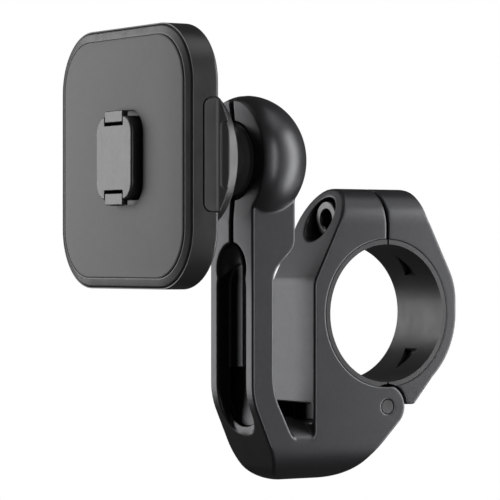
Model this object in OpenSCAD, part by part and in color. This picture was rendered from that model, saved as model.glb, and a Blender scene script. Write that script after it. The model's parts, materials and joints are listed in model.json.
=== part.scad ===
// Handlebar phone mount: a two-part hinged bar clamp, a forked arm with a ball socket,
// and a square phone plate with a sprung quick-release latch.
// The origin is on the handlebar's axis, +X runs along the bar, -Y is the way the
// phone plate faces and +Z is up. Millimetres.

/* [Handlebar clamp] */
// Diameter of the handlebar that the liner grips
bar_d = 31.8; // [31.4:0.1:32]
// Radial thickness of the two liner halves
liner_t = 1.1; // [1:0.05:1.2]
// Width of the clamp and of the arm, along the bar
body_w = 17.8; // [17.4:0.1:18.2]
// Height of the clamp's rounded top above the bar's axis
clamp_top = 28.9; // [28.7:0.1:29.2]
// Distance from the bar's axis to the arm's front face
arm_front = 37; // [36.8:0.1:37.2]
// Thickness of the arm's plate
arm_t = 5.8; // [5.6:0.1:6]
// Lowest point of the arm below the bar's axis
arm_drop = 38; // [37.6:0.1:38.4]

/* [Ball joint] */
// Diameter of the ball
ball_d = 18.6; // [18.5:0.05:18.7]
// Outside diameter of the round ball socket
socket_d = 29.6; // [29.4:0.1:29.8]
// Height of the ball's centre above the bar's axis
ball_z = 34.75; // [34.5:0.05:35]

/* [Phone plate] */
// Width of the phone plate
plate_w = 57; // [56.6:0.1:57.6]
// Height of the phone plate
plate_h = 57.8; // [57.4:0.1:58.4]
// Corner radius of the phone plate
plate_r = 13.5; // [13:0.1:14]
// Width of the soft face pad
pad_w = 51.3; // [51:0.1:51.6]
// Height of the soft face pad
pad_h = 52.9; // [52.6:0.1:53.2]

/* [Latch] */
// Width of the latch block
latch_w = 15.4; // [15:0.1:15.6]
// Height of the latch block
latch_h = 18.4; // [18.2:0.1:18.6]
// Width of the well that the latch block stands in
well_w = 18.3; // [18:0.1:18.6]
// Height of the well that the latch block stands in
well_h = 21; // [20.8:0.1:21.2]
// How far the two side buttons travel inwards
button_travel = 1.5; // [1.2:0.1:1.5]

/* [Hidden] */

$fn = 96;
eps = 0.01;
far = 100;            // longer than any cut needs
arc_step = 6;         // degrees between the points of a rounded outline corner

// Colours
black_metal = [0.16, 0.16, 0.17];
dark_metal = [0.1, 0.1, 0.11];
black_plastic = [0.13, 0.13, 0.14];
soft_black = [0.2, 0.2, 0.21];
steel = [0.55, 0.56, 0.58];

// Clamp
liner_r = bar_d / 2;
housing_r = liner_r + liner_t;
half_w = body_w / 2;
split_front = 0.05;   // face of the front half at the split, in Y
split_rear = 0.55;    // face of the rear half at the split, in Y
clamp_front = 20.15;  // from the bar's axis to the front half's upright face
clamp_rear_r = 20;    // radius of the rear half's back
ear_slant = 26.9;     // lean of the front half's upper face, degrees from upright
ear_foot_z = 7.2;     // where the upright face starts to lean
foot_z = -19;         // where the arm's foot starts at the front
foot_front_y = -28.6; // corners of the foot's underside
foot_rear_y = -9.2;
pin_y = 0.2;
pin_z = -21.6;
pin_r = 1.6;
knuckle_r = 5;
knuckle_gap = 0.3;
tongue_w = 8.8;
tongue_gap = 0.25;
pin_fit = 0.05;       // running clearance of the tongue on its pin

// Clamp bolt, along Y above the bar
bolt_z = 21.7;
bolt_r = 2.1;         // plain shank at the thread's root
bolt_hole_r = 2.7;
bolt_head_r = 4.25;
bolt_head_h = 5;
counterbore_r = 5;
bolt_seat_y = -5.2;   // floor of the counterbore
washer_t = 0.8;
bolt_end_y = 5.4;
insert_r = 3.5;
insert_bore_r = 2.5;
insert_end_y = 8.5;
hex_key = 4;
hex_depth = 2.8;

// Arm
arm_back_y = -(arm_front - arm_t);
neck_back_y = -25.4;
trench_w = 11.8;
trench_depth = 3.6;
trench_top_z = 16.1;
trench_bottom_z = -27.8;
pocket_r = 7.9;       // undercut pocket behind the trench's lower end
pocket_top_z = -12.2;
pocket_bottom_z = -25.5;
pocket_y = -32;
slit_w = 1.3;
slit_deep_z = 20;     // above this the slit runs through the whole socket
gap_bend_z = -17.5;   // below this the arm's back leans towards the clamp
gap_floor_y = -24.7;
gap_floor_z = -30.5;
saddle_r = 10.85;     // round-backed mound on the gap's floor, along Y
saddle_crest_z = -23.6;
niche_half_w = 7.6;   // niche in the clamp's upright face, just above the mound
niche_top_z = -20.4;
niche_y = -14.5;

// Tension bolt, along X below the socket
tension_y = -31;
tension_z = 18.6;
tension_r = 2.4;
tension_hole_r = 2.7;
tension_head_r = 4.1;
tension_head_h = 3.2;
tension_bore_r = 4.5;
tension_seat_x = -4.2;
tension_end_x = 6.6;

// Ball and socket
ball_y = -33;
ball_r = ball_d / 2;
socket_r = socket_d / 2;
ring_r = 13.6;        // edge of the socket's front ring
ring_dip = 0.45;      // the ring's face falls towards the mouth by this much
mouth_r = 8.85;
lip_gap = 0.2;
cup_t = 1.4;
cup_gap = 0.05;
cup_room_y = -35.2;   // front end of the room for the cup
dome_back = 13.2;     // from the ball's centre to the back of the socket
stem_r = 5.5;
stem_neck_r = 3;

// Phone plate
head_z = ball_z;
pad_y = -65.7;        // face of the pad
pad_t = 1.2;
pad_r = 11;
seam_y = -64.7;       // seam between the front frame and the rear shell
back_y = -58.1;       // back of the rear shell
shell_floor_t = 2.2;
shell_wall_t = 2.4;
frame_back_y = -63.2;
frame_front_y = -65.45;
hub_face_y = -45;
hub_r = 15.8;
hub_base_r = 21;
hub_wall_t = 2.5;
screw_x = 10.5;
screw_dz = 22.5;
screw_r = 1;
screw_head_r = 2.1;
magnet_r = 4;
magnet_t = 1.4;
magnet_off = 17;

// Latch
latch_face_y = -67.8;
latch_r = 3.8;
well_r = 5;
latch_flange = 3;     // how far the hidden flange reaches past the well
flange_back_y = -62.3;
pawl_w = 7.7;
pawl_in = 7.8;
pawl_out = 10.4;
pawl_gap = 0.65;
pawl_foot_in = 6.9;
pawl_foot_out = 9;
foot_back_y = -60.7;
pawl_ratio = 0.4;     // pawl travel for each unit of button travel

// Buttons
button_h = 24.3;
button_front_y = -62.1;
button_in_x = 24.2;
button_gap = 0.25;
button_r = 2;
wing_x = plate_w / 2 + 1.4;
wing_y = -55.8;
wing_arc_r = 33.2;
link_t = 1;
link_y = -61.9;
link_in_x = 3;
link_tail_h = 10;
spring_r = 1;
spring_wire_r = 0.2;
spring_dz = 9;
spring_seat_x = 18;
spring_turns = 7;
spring_y = -61.6;
seat_t = 1.2;

// ---- outlines ----

function unit(v) = v / norm(v);

function turned(v, angle) =
    [v.x * cos(angle) - v.y * sin(angle), v.x * sin(angle) + v.y * cos(angle)];

// Points of the arc that rounds corner q, between its neighbours p and s
function fillet(p, q, s, r) =
    let (u = unit(p - q), v = unit(s - q), half = acos(u * v) / 2,
        centre = q + unit(u + v) * r / sin(half),
        from = q + u * r / tan(half) - centre,
        to = q + v * r / tan(half) - centre,
        sweep = (180 - 2 * half) * sign(from.x * to.y - from.y * to.x),
        steps = max(2, ceil(abs(sweep) / arc_step)))
    [for (i = [0:steps]) centre + turned(from, sweep * i / steps)];

// Outline from corners [a, b, radius]; a radius of 0 leaves the corner sharp
function rounded(corners) =
    let (n = len(corners), flat = [for (c = corners) [c.x, c.y]])
    [for (i = [0:n - 1]) each corners[i].z == 0 ? [flat[i]] :
        fillet(flat[(i + n - 1) % n], flat[i], flat[(i + 1) % n], corners[i].z)];

function rounded_rect(w, h, r) = rounded([[-w / 2, -h / 2, r], [w / 2, -h / 2, r],
    [w / 2, h / 2, r], [-w / 2, h / 2, r]]);

// ---- placing ----

// Drawn in [Y, Z], from x = from to x = to
module along_x(from, to) {
    translate([from, 0, 0]) rotate([90, 0, 90]) linear_extrude(to - from) children();
}

// Drawn in [X, Z], from y = from to y = to
module along_y(from, to) {
    translate([0, to, 0]) rotate([90, 0, 0]) linear_extrude(to - from) children();
}

module rod_x(from, to, r, y, z) {
    translate([from, y, z]) rotate([0, 90, 0]) cylinder(h = to - from, r = r);
}

module rod_y(from, to, r, x, z) {
    translate([x, from, z]) rotate([-90, 0, 0]) cylinder(h = to - from, r = r);
}

// Box from its lowest corner to its highest
module box(low, high) {
    translate(low) cube(high - low);
}

// Profile in [radius, Y] turned about the line along Y at height z
module turned_about_y(z) {
    translate([0, 0, z]) rotate([-90, 0, 0]) rotate_extrude() children();
}

module at_head() {
    translate([0, 0, head_z]) children();
}

// ---- clamp and arm ----

// Upright slot shape with half-round ends, from low to high
module stadium(r, low, high) {
    translate([0, high - r]) circle(r = r);
    translate([0, low + r]) circle(r = r);
    translate([-r, low + r]) square([2 * r, high - low - 2 * r]);
}

// Round ends, seen along Y, that the clamp halves and the arm's foot share
module round_ends() {
    along_y(-far, far) stadium(half_w, -arm_drop, clamp_top);
}

// Foot of the arm and front half of the clamp, seen along X
module clamp_side() {
    ear_y = -clamp_front + tan(ear_slant) * (clamp_top - ear_foot_z);
    polygon(rounded([[split_front, clamp_top, 0], [ear_y, clamp_top, 0.8],
        [-clamp_front, ear_foot_z, 5], [-clamp_front, gap_floor_z, 0],
        [gap_floor_y, gap_floor_z, 0], [arm_back_y, gap_bend_z, 15],
        [arm_back_y, 2, 0], [-arm_front, 2, 0], [-arm_front, foot_z, 16],
        [foot_front_y, -arm_drop, 6], [foot_rear_y, -arm_drop, 14],
        [pin_y + knuckle_r * cos(45), pin_z - knuckle_r * sin(45), 0],
        [pin_y, pin_z, 0], [split_front, pin_z, 0]]));
    translate([pin_y, pin_z]) circle(r = knuckle_r);
}

// Upper arm with the thick neck that carries the socket, seen along X
module neck_side() {
    polygon(rounded([[-arm_front, -2, 0], [arm_back_y, -2, 0], [arm_back_y, 9.6, 5],
        [neck_back_y, 15.2, 4], [neck_back_y, 26.8, 0], [-arm_front, 26.8, 0]]));
}

// Long round-ended recess down the arm's front, seen along Y
module trench_outline() {
    stadium(trench_w / 2, trench_bottom_z, trench_top_z);
}

// Mound across the bottom of the gap between the arm and the clamp
module saddle() {
    intersection() {
        rod_y(gap_floor_y - 4, -clamp_front + 2, saddle_r, 0, saddle_crest_z - saddle_r);
        box([-far, -far, gap_floor_z - 1.5], [far, 0, 0]);
    }
}

// Dome turned about Y: part of an ellipse in front of the ball's centre, half of one behind
module socket_shell() {
    ring_turn = acos(ring_r / socket_r);
    dome_front = (arm_front + ball_y) / sin(ring_turn);
    front = [for (t = [0:4]) let (a = ring_turn * (1 - t / 4))
        [socket_r * cos(a), ball_y - dome_front * sin(a)]];
    back = [for (a = [arc_step:arc_step:90 - arc_step])
        [socket_r * cos(a), ball_y + dome_back * sin(a)]];
    turned_about_y(ball_z)
        polygon(concat([[0, -arm_front]], front, back, [[0, ball_y + dome_back]]));
}

// Room for the ball and its cup, with the mouth that the stem leaves by
module socket_room() {
    translate([0, ball_y, ball_z]) sphere(r = ball_r + lip_gap);
    intersection() {
        translate([0, ball_y, ball_z]) sphere(r = ball_r + cup_t + 2 * cup_gap);
        box([-far, cup_room_y, 0], [far, 0, far]);
    }
    turned_about_y(ball_z) {
        polygon([[0, -far], [ring_r, -far], [ring_r, -arm_front],
            [mouth_r, -arm_front + ring_dip], [mouth_r, -arm_front + ring_dip + 0.2],
            [0, -arm_front + ring_dip + 0.2]]);
    }
}

module arm_body() {
    color(black_metal) difference() {
        union() {
            intersection() {
                union() {
                    along_x(-half_w, half_w) clamp_side();
                    saddle();
                }
                round_ends();
            }
            along_x(-half_w, half_w) neck_side();
            socket_shell();
        }
        rod_x(-far, far, housing_r, 0, 0);
        socket_room();
        // recess down the arm's front, deeper and undercut at its lower end
        along_y(-far, -arm_front + trench_depth) trench_outline();
        along_y(-arm_front + trench_depth - eps, pocket_y) intersection() {
            stadium(pocket_r, pocket_bottom_z, trench_top_z);
            translate([-far, -far]) square([2 * far, far + pocket_top_z]);
        }
        // slit that lets the fork close on the ball
        box([-slit_w / 2, -far, pocket_top_z - 1], [slit_w / 2, neck_back_y + 0.5, far]);
        box([-slit_w / 2, -far, slit_deep_z], [slit_w / 2, -18, far]);
        // clamp bolt
        rod_y(-18, 1, bolt_hole_r, 0, bolt_z);
        rod_y(-24, bolt_seat_y, counterbore_r, 0, bolt_z);
        // niche at the bottom of the gap
        box([-niche_half_w, -clamp_front - 1, saddle_crest_z - 1],
            [niche_half_w, niche_y, niche_top_z]);
        // hinge fork
        box([-tongue_w / 2 - tongue_gap, -4.6, pin_z - far],
            [tongue_w / 2 + tongue_gap, far, pin_z + 4.4]);
        rod_x(-tongue_w / 2 - tongue_gap, tongue_w / 2 + tongue_gap,
            knuckle_r + knuckle_gap, pin_y, pin_z);
        rod_x(-far, far, pin_r, pin_y, pin_z);
        // tension bolt
        rod_x(-far, tension_end_x + 0.3, tension_hole_r, tension_y, tension_z);
        rod_x(-far, tension_seat_x, tension_bore_r, tension_y, tension_z);
    }
}

module hinge_pin() {
    color(dark_metal) rod_x(-half_w + 0.1, half_w - 0.1, pin_r, pin_y, pin_z);
}

// Rear half of the clamp, seen along X
module rear_side() {
    slant_y = 11.9;
    difference() {
        union() {
            polygon(rounded([[split_rear, clamp_top, 0], [10.4, clamp_top, 1.5],
                [slant_y, 21.9, 8], [clamp_rear_r, 6.5, 15], [clamp_rear_r, 0, 0],
                [split_rear, 0, 0]]));
            intersection() {
                circle(r = clamp_rear_r);
                translate([split_rear, -far]) square([far, 2 * far]);
            }
            polygon(rounded([[split_rear, -10, 0], [14.2, -13.9, 0], [7.9, -21.2, 0.8],
                [split_rear, -21.2, 0]]));
        }
        translate([pin_y, pin_z]) circle(r = knuckle_r + knuckle_gap);
    }
}

// Middle tongue of the rear half, which turns on the hinge pin
module tongue_side() {
    translate([pin_y, pin_z]) circle(r = knuckle_r - 0.2);
    polygon([[pin_y, pin_z], [pin_y + knuckle_r, pin_z + 0.8], [pin_y + 6, pin_z + 4],
        [pin_y + 3, pin_z + 5.6], [split_rear, pin_z + 5.6], [split_rear, pin_z]]);
}

module rear_clamp() {
    color(black_metal) difference() {
        union() {
            intersection() {
                along_x(-half_w, half_w) rear_side();
                round_ends();
            }
            along_x(-tongue_w / 2, tongue_w / 2) tongue_side();
        }
        rod_x(-far, far, housing_r, 0, 0);
        rod_x(-far, far, pin_r + pin_fit, pin_y, pin_z);
        rod_y(-1, insert_end_y, insert_r, 0, bolt_z);
    }
}

module thread_insert() {
    color(steel) difference() {
        rod_y(split_rear, insert_end_y, insert_r, 0, bolt_z);
        rod_y(-1, insert_end_y - 0.8, insert_bore_r, 0, bolt_z);
    }
}

// Both liner halves in one, cut back round the hinge so that they clear it as it opens
module liner_ring() {
    difference() {
        rod_x(-half_w, half_w, housing_r, 0, 0);
        rod_x(-far, far, liner_r, 0, 0);
        rod_x(-far, far, knuckle_r + knuckle_gap, pin_y, pin_z);
    }
}

module front_liner() {
    color(soft_black) intersection() {
        liner_ring();
        box([-far, -far, -far], [far, split_front, far]);
    }
}

// Three-cornered window through the rear liner; its tip points away from the middle
module liner_window(side) {
    rotate([side * 45, 0, 0]) rotate([90, 0, 180]) translate([0, 0, liner_r - 1])
        linear_extrude(liner_t + 2) polygon([[-2.4, -side * 3.4], [2.4, -side * 3.4],
            [0, side * 3.4]]);
}

module rear_liner() {
    color(soft_black) difference() {
        intersection() {
            liner_ring();
            box([-far, split_rear, -far], [far, far, far]);
        }
        for (side = [-1, 1]) liner_window(side);
    }
}

module clamp_washer() {
    color(steel) difference() {
        rod_y(bolt_seat_y - washer_t, bolt_seat_y, bolt_head_r + 0.3, 0, bolt_z);
        rod_y(-far, far, bolt_r + 0.3, 0, bolt_z);
    }
}

// Cap screw along Y; its head, towards -Y, ends at y = seat
module clamp_bolt() {
    seat = bolt_seat_y - washer_t;
    color(dark_metal) difference() {
        union() {
            rod_y(seat - bolt_head_h, seat, bolt_head_r, 0, bolt_z);
            rod_y(seat - eps, bolt_end_y, bolt_r, 0, bolt_z);
        }
        translate([0, seat - bolt_head_h - eps, bolt_z]) rotate([-90, 0, 0])
            cylinder(h = hex_depth, d = hex_key / cos(30), $fn = 6);
    }
}

module tension_washer() {
    color(steel) difference() {
        rod_x(tension_seat_x - washer_t, tension_seat_x, tension_head_r + 0.2,
            tension_y, tension_z);
        rod_x(-far, far, tension_r + 0.2, tension_y, tension_z);
    }
}

module tension_bolt() {
    seat = tension_seat_x - washer_t;
    color(dark_metal) difference() {
        union() {
            rod_x(seat - tension_head_h, seat, tension_head_r, tension_y, tension_z);
            rod_x(seat - eps, tension_end_x, tension_r, tension_y, tension_z);
        }
        translate([seat - tension_head_h - eps, tension_y, tension_z]) rotate([0, 90, 0])
            cylinder(h = 2, d = 3 / cos(30), $fn = 6);
    }
}

// ---- ball joint ----

module socket_cup() {
    color(soft_black) difference() {
        intersection() {
            translate([0, ball_y, ball_z]) sphere(r = ball_r + cup_t + cup_gap);
            box([-far, ball_y + 1, 0], [far, 0, far]);
        }
        translate([0, ball_y, ball_z]) sphere(r = ball_r + cup_gap);
    }
}

module ball_stud() {
    stem_start = ball_y - 6;
    shoulder = hub_face_y + 0.7;
    color(dark_metal) difference() {
        union() {
            translate([0, ball_y, ball_z]) sphere(r = ball_r);
            rod_y(shoulder, stem_start, stem_r, 0, ball_z);
            rod_y(back_y - shell_floor_t, shoulder + eps, stem_neck_r, 0, ball_z);
        }
        rod_y(back_y - 5, back_y + 8, 1.6, 0, ball_z);
    }
}

module retaining_screw() {
    seat = back_y - shell_floor_t - 0.1;
    color(steel) difference() {
        union() {
            rod_y(seat - 1.1, seat, 4.2, 0, ball_z);
            rod_y(seat - eps, back_y + 6, 1.6, 0, ball_z);
        }
        translate([0, seat - 1.2, ball_z]) rotate([-90, 0, 0])
            cylinder(h = 0.8, d = 2.5 / cos(30), $fn = 6);
    }
}

module spin_washer() {
    color(soft_black) difference() {
        rod_y(hub_face_y + 0.05, hub_face_y + 0.65, 5.5, 0, ball_z);
        rod_y(-far, far, stem_neck_r + 0.05, 0, ball_z);
    }
}

// ---- phone plate ----

module back_hub() {
    color(black_plastic) difference() {
        turned_about_y(head_z) polygon(rounded([[0, hub_face_y, 0],
            [hub_r, hub_face_y, 1.2], [hub_r + 0.8, -48.5, 10], [hub_base_r, back_y, 0],
            [0, back_y, 0]]));
        turned_about_y(head_z) polygon([[7, hub_face_y - hub_wall_t],
            [hub_r - hub_wall_t, hub_face_y - hub_wall_t],
            [hub_base_r - hub_wall_t, back_y - 1], [7, back_y - 1]]);
        rod_y(-far, far, stem_neck_r + 0.05, 0, head_z);
    }
}

module plate_slab(inset, from, to) {
    at_head() along_y(from, to) polygon(rounded_rect(plate_w - 2 * inset,
        plate_h - 2 * inset, plate_r - inset));
}

module at_shell_screws() {
    for (x = [-screw_x, screw_x], z = [-screw_dz, screw_dz])
        translate([x, 0, head_z + z]) children();
}

// Notch in a side of the shell that a button slides in
module button_notch(side) {
    h = button_h + 2 * button_gap;
    low = button_in_x - button_travel - 0.3;
    at_head() along_x(side > 0 ? low : -far, side > 0 ? far : -low)
        button_outline(h, button_front_y - button_gap, button_r + button_gap);
}

// A button's outline seen along X, rounded at its front corners only
module button_outline(h, front, r) {
    polygon(rounded([[front, -h / 2, r], [0, -h / 2, 0], [0, h / 2, 0], [front, h / 2, r]]));
}

module rear_shell() {
    color(black_plastic) difference() {
        plate_slab(0, seam_y, back_y);
        plate_slab(shell_wall_t, seam_y - 1, back_y - shell_floor_t);
        for (side = [-1, 1]) button_notch(side);
        rod_y(-far, far, stem_neck_r + 0.05, 0, head_z);
        at_shell_screws() {
            rod_y(-far, far, screw_r + 0.1, 0, 0);
            rod_y(back_y - 1.2, 0, screw_head_r + 0.1, 0, 0);
        }
    }
}

module front_frame() {
    color(black_plastic) difference() {
        union() {
            plate_slab(0, frame_front_y, seam_y);
            plate_slab(shell_wall_t + 0.1, seam_y - eps, frame_back_y);
            at_shell_screws() rod_y(frame_back_y - eps, back_y - shell_floor_t - 0.1, 2.3, 0, 0);
            // seats for the button springs
            at_head() for (side = [-1, 1], z = [-spring_dz, spring_dz])
                box([side * (spring_seat_x - seat_t / 2) - seat_t / 2, frame_back_y - eps,
                    z - 1.5], [side * (spring_seat_x - seat_t / 2) + seat_t / 2,
                    back_y - shell_floor_t - 0.2, z + 1.5]);
        }
        at_head() along_y(-far, pad_y + pad_t)
            polygon(rounded_rect(pad_w + 0.2, pad_h + 0.2, pad_r + 0.1));
        at_head() along_y(-far, 0)
            polygon(rounded_rect(well_w, well_h, well_r));
        at_shell_screws() rod_y(frame_back_y - 0.3, 0, screw_r, 0, 0);
    }
}

module face_pad() {
    color(soft_black) difference() {
        at_head() along_y(pad_y, pad_y + pad_t)
            polygon(rounded_rect(pad_w, pad_h, pad_r));
        at_head() along_y(-far, 0)
            polygon(rounded_rect(well_w, well_h, well_r));
    }
}

module magnets() {
    color(steel) for (x = [-magnet_off, magnet_off], z = [-magnet_off, magnet_off])
        rod_y(frame_back_y, frame_back_y + magnet_t, magnet_r, x, head_z + z);
}

module shell_screws() {
    color(dark_metal) at_shell_screws() difference() {
        union() {
            rod_y(back_y - 1.2, back_y - 0.1, screw_head_r, 0, 0);
            rod_y(frame_back_y - 0.2, back_y - 1.2 + eps, screw_r, 0, 0);
        }
        translate([0, back_y - 0.8, 0]) rotate([-90, 0, 0])
            cylinder(h = 2, d = 1.5 / cos(30), $fn = 6);
    }
}

// ---- latch ----

module latch_slab(w, h, r, from, to) {
    at_head() along_y(from, to) polygon(rounded_rect(w, h, r));
}

module latch_boss() {
    slot_in = pawl_in - pawl_gap;
    color(black_metal) difference() {
        union() {
            latch_slab(latch_w, latch_h, latch_r, latch_face_y, frame_back_y + eps);
            latch_slab(well_w + 2 * latch_flange, well_h + 2 * latch_flange, well_r,
                frame_back_y, flange_back_y);
        }
        // slots for the pawls
        at_head() for (side = [-1, 1]) mirror([0, 0, side > 0 ? 0 : 1]) {
            box([-pawl_w / 2 - 0.1, -far, slot_in], [pawl_w / 2 + 0.1, frame_back_y, far]);
            box([-pawl_w / 2 - 0.1, -far, slot_in - 1.2],
                [pawl_w / 2 + 0.1, 0, pawl_foot_out + 0.1]);
        }
    }
}

// A pawl's hook, its shank through the block and the foot that the links press in
module pawl(side) {
    color(dark_metal) at_head() mirror([0, 0, side > 0 ? 0 : 1]) {
        box([-pawl_w / 2, latch_face_y, pawl_in], [pawl_w / 2, latch_face_y + 1.5, pawl_out]);
        box([-pawl_w / 2, latch_face_y + 1.4, pawl_in],
            [pawl_w / 2, foot_back_y, pawl_foot_out]);
        box([-pawl_w / 2, flange_back_y + 0.1, pawl_foot_in],
            [pawl_w / 2, foot_back_y, pawl_foot_out]);
    }
}

module pawl_top() {
    pawl(1);
}

module pawl_bottom() {
    pawl(-1);
}

// Side button: a flat cap in the plate's side with a finger wing behind the plate
module button(side) {
    flush = plate_w / 2;
    color(black_plastic) mirror([side > 0 ? 0 : 1, 0, 0]) at_head() difference() {
        intersection() {
            translate([0, 0, -button_h / 2]) linear_extrude(button_h)
                polygon(rounded([[button_in_x, button_front_y, 0],
                    [flush, button_front_y, 0.3], [flush, back_y - 0.6, 2],
                    [wing_x, wing_y - 0.7, 0.5], [wing_x - 0.6, wing_y, 0.4],
                    [button_in_x + 1.8, wing_y, 0.5], [button_in_x + 1.2, back_y + 0.3, 0],
                    [button_in_x, back_y + 0.3, 0]]));
            rod_x(0, far, wing_arc_r, wing_y - wing_arc_r, 0);
            along_x(0, far) button_outline(button_h, button_front_y, button_r);
        }
        // shallow finger recess on the wing
        translate([flush + 0.72, back_y + 1.05, 0]) rotate([0, 0, -32])
            cube([0.5, 1.8, 14], center = true);
    }
}

module button_right() {
    button(1);
}

module button_left() {
    button(-1);
}

// Flat link with a V notch that squeezes the pawls' feet together as a button goes in
module release_link(side) {
    notch_in = pawl_foot_out + 0.2 + (pawl_w / 2 - link_in_x) * pawl_ratio;
    notch_end_x = 10;
    notch_end = notch_in - (notch_end_x - link_in_x) * pawl_ratio;
    outer = 11.5;
    color(steel) mirror([side > 0 ? 0 : 1, 0, 0]) at_head() along_y(link_y, link_y + link_t)
        polygon([[link_in_x, notch_in], [link_in_x, outer], [notch_end_x + 2, outer],
            [notch_end_x + 4, link_tail_h / 2], [button_in_x, link_tail_h / 2],
            [button_in_x, -link_tail_h / 2], [notch_end_x + 4, -link_tail_h / 2],
            [notch_end_x + 2, -outer], [link_in_x, -outer], [link_in_x, -notch_in],
            [notch_end_x, -notch_end], [notch_end_x, notch_end]]);
}

module release_link_right() {
    release_link(1);
}

module release_link_left() {
    release_link(-1);
}

// Coil along X as one polyhedron: a six-sided wire swept along a helix
module coil(length, r, wire_r, turns) {
    per_turn = 12;
    sides = 6;
    steps = turns * per_turn;
    points = [for (i = [0:steps], k = [0:sides - 1])
        let (a = 360 * i / per_turn, b = 360 * k / sides, d = r + wire_r * cos(b))
        [wire_r + (length - 2 * wire_r) * i / steps + wire_r * sin(b), d * cos(a), d * sin(a)]];
    walls = [for (i = [0:steps - 1], k = [0:sides - 1])
        [i * sides + k, (i + 1) * sides + k, (i + 1) * sides + (k + 1) % sides,
            i * sides + (k + 1) % sides]];
    cap_start = [for (k = [0:sides - 1]) k];
    cap_end = [for (k = [sides - 1:-1:0]) steps * sides + k];
    polyhedron(points = points, faces = concat(walls, [cap_start, cap_end]));
}

module button_springs(side) {
    color(steel) mirror([side > 0 ? 0 : 1, 0, 0]) at_head()
        for (z = [-spring_dz, spring_dz]) translate([spring_seat_x + 0.05, spring_y, z])
            coil(button_in_x - spring_seat_x - 0.1, spring_r, spring_wire_r, spring_turns);
}

module button_springs_right() {
    button_springs(1);
}

module button_springs_left() {
    button_springs(-1);
}

arm_body();
front_liner();
hinge_pin();
tension_washer();
tension_bolt();
rear_clamp();
rear_liner();
thread_insert();
clamp_washer();
clamp_bolt();
socket_cup();
ball_stud();
retaining_screw();
spin_washer();
back_hub();
rear_shell();
front_frame();
face_pad();
latch_boss();
magnets();
shell_screws();
pawl_top();
pawl_bottom();
button_right();
button_left();
release_link_right();
release_link_left();
button_springs_right();
button_springs_left();
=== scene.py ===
"""A handlebar phone mount: hinged bar clamp, forked arm, ball joint and a rounded square
phone plate with a sprung latch. Shapes are worked out in millimetres, in the CAD's frame,
and turned into metres as each mesh is made."""
import json
import math

import bmesh
import bpy
import numpy as np
import openvdb
from mathutils import Matrix, Vector


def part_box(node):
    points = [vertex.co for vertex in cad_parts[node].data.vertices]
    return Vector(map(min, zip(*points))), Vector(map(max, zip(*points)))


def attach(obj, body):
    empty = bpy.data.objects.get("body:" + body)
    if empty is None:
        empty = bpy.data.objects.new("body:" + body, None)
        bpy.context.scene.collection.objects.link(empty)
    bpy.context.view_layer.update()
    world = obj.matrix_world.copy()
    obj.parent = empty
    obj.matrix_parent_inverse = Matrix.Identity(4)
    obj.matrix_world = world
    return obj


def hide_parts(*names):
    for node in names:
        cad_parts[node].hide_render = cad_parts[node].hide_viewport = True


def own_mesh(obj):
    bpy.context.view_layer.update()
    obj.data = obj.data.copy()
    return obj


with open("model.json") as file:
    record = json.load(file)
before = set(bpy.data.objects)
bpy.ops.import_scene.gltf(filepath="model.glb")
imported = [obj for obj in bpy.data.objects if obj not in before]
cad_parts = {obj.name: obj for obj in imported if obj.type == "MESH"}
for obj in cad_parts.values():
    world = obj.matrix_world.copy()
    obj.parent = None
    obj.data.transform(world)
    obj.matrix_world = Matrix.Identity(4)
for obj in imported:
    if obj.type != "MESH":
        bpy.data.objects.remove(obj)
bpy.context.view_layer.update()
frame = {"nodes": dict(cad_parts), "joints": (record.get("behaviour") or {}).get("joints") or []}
MM = 0.001


# ---- places and sizes from the frame, in millimetres ----

def corner_mm(node, end):
    """Lowest (end 0) or highest (end 1) corner of a CAD node."""
    return Vector(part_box(node)[end]) / MM


def pivot_mm(joint_name):
    found = [j for j in frame["joints"] if j["name"] == joint_name]
    return Vector(found[0]["pos_m"]) / MM


HALF_W = corner_mm("rear_clamp", 1).x
CLAMP_TOP = corner_mm("rear_clamp", 1).z
ARM_DROP = -corner_mm("arm_body", 0).z
ARM_FRONT = -corner_mm("arm_body", 0).y
SOCKET_R = corner_mm("arm_body", 1).x
REAR_R = corner_mm("rear_clamp", 1).y
HOUSING_R = corner_mm("front_liner", 1).z
PIN = pivot_mm("clamp_opening")
PIN_R = (corner_mm("hinge_pin", 1).y - corner_mm("hinge_pin", 0).y) / 2
BALL = pivot_mm("ball_pan_turn")
BALL_R = corner_mm("ball_stud", 1).x
BOLT_Z = pivot_mm("clamp_screw_turn").z
TENSION = pivot_mm("tension_screw_turn")
HEAD_Z = BALL.z
PLATE_W = 2 * corner_mm("rear_shell", 1).x
PLATE_H = corner_mm("rear_shell", 1).z - corner_mm("rear_shell", 0).z
PLATE_R = 13.5
SEAM_Y = corner_mm("rear_shell", 0).y
BACK_Y = corner_mm("rear_shell", 1).y
PAD_W = 2 * corner_mm("face_pad", 1).x
PAD_H = corner_mm("face_pad", 1).z - corner_mm("face_pad", 0).z
PAD_Y = corner_mm("face_pad", 0).y
PAD_R = 11
FRAME_Y = corner_mm("front_frame", 0).y
FLANGE_Y = corner_mm("latch_boss", 1).y
LATCH_Y = corner_mm("latch_boss", 0).y
HUB_Y = corner_mm("back_hub", 1).y
HUB_BASE_R = corner_mm("back_hub", 1).x
SPLIT_FRONT = corner_mm("front_liner", 1).y
SPLIT_REAR = corner_mm("rear_liner", 0).y

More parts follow.
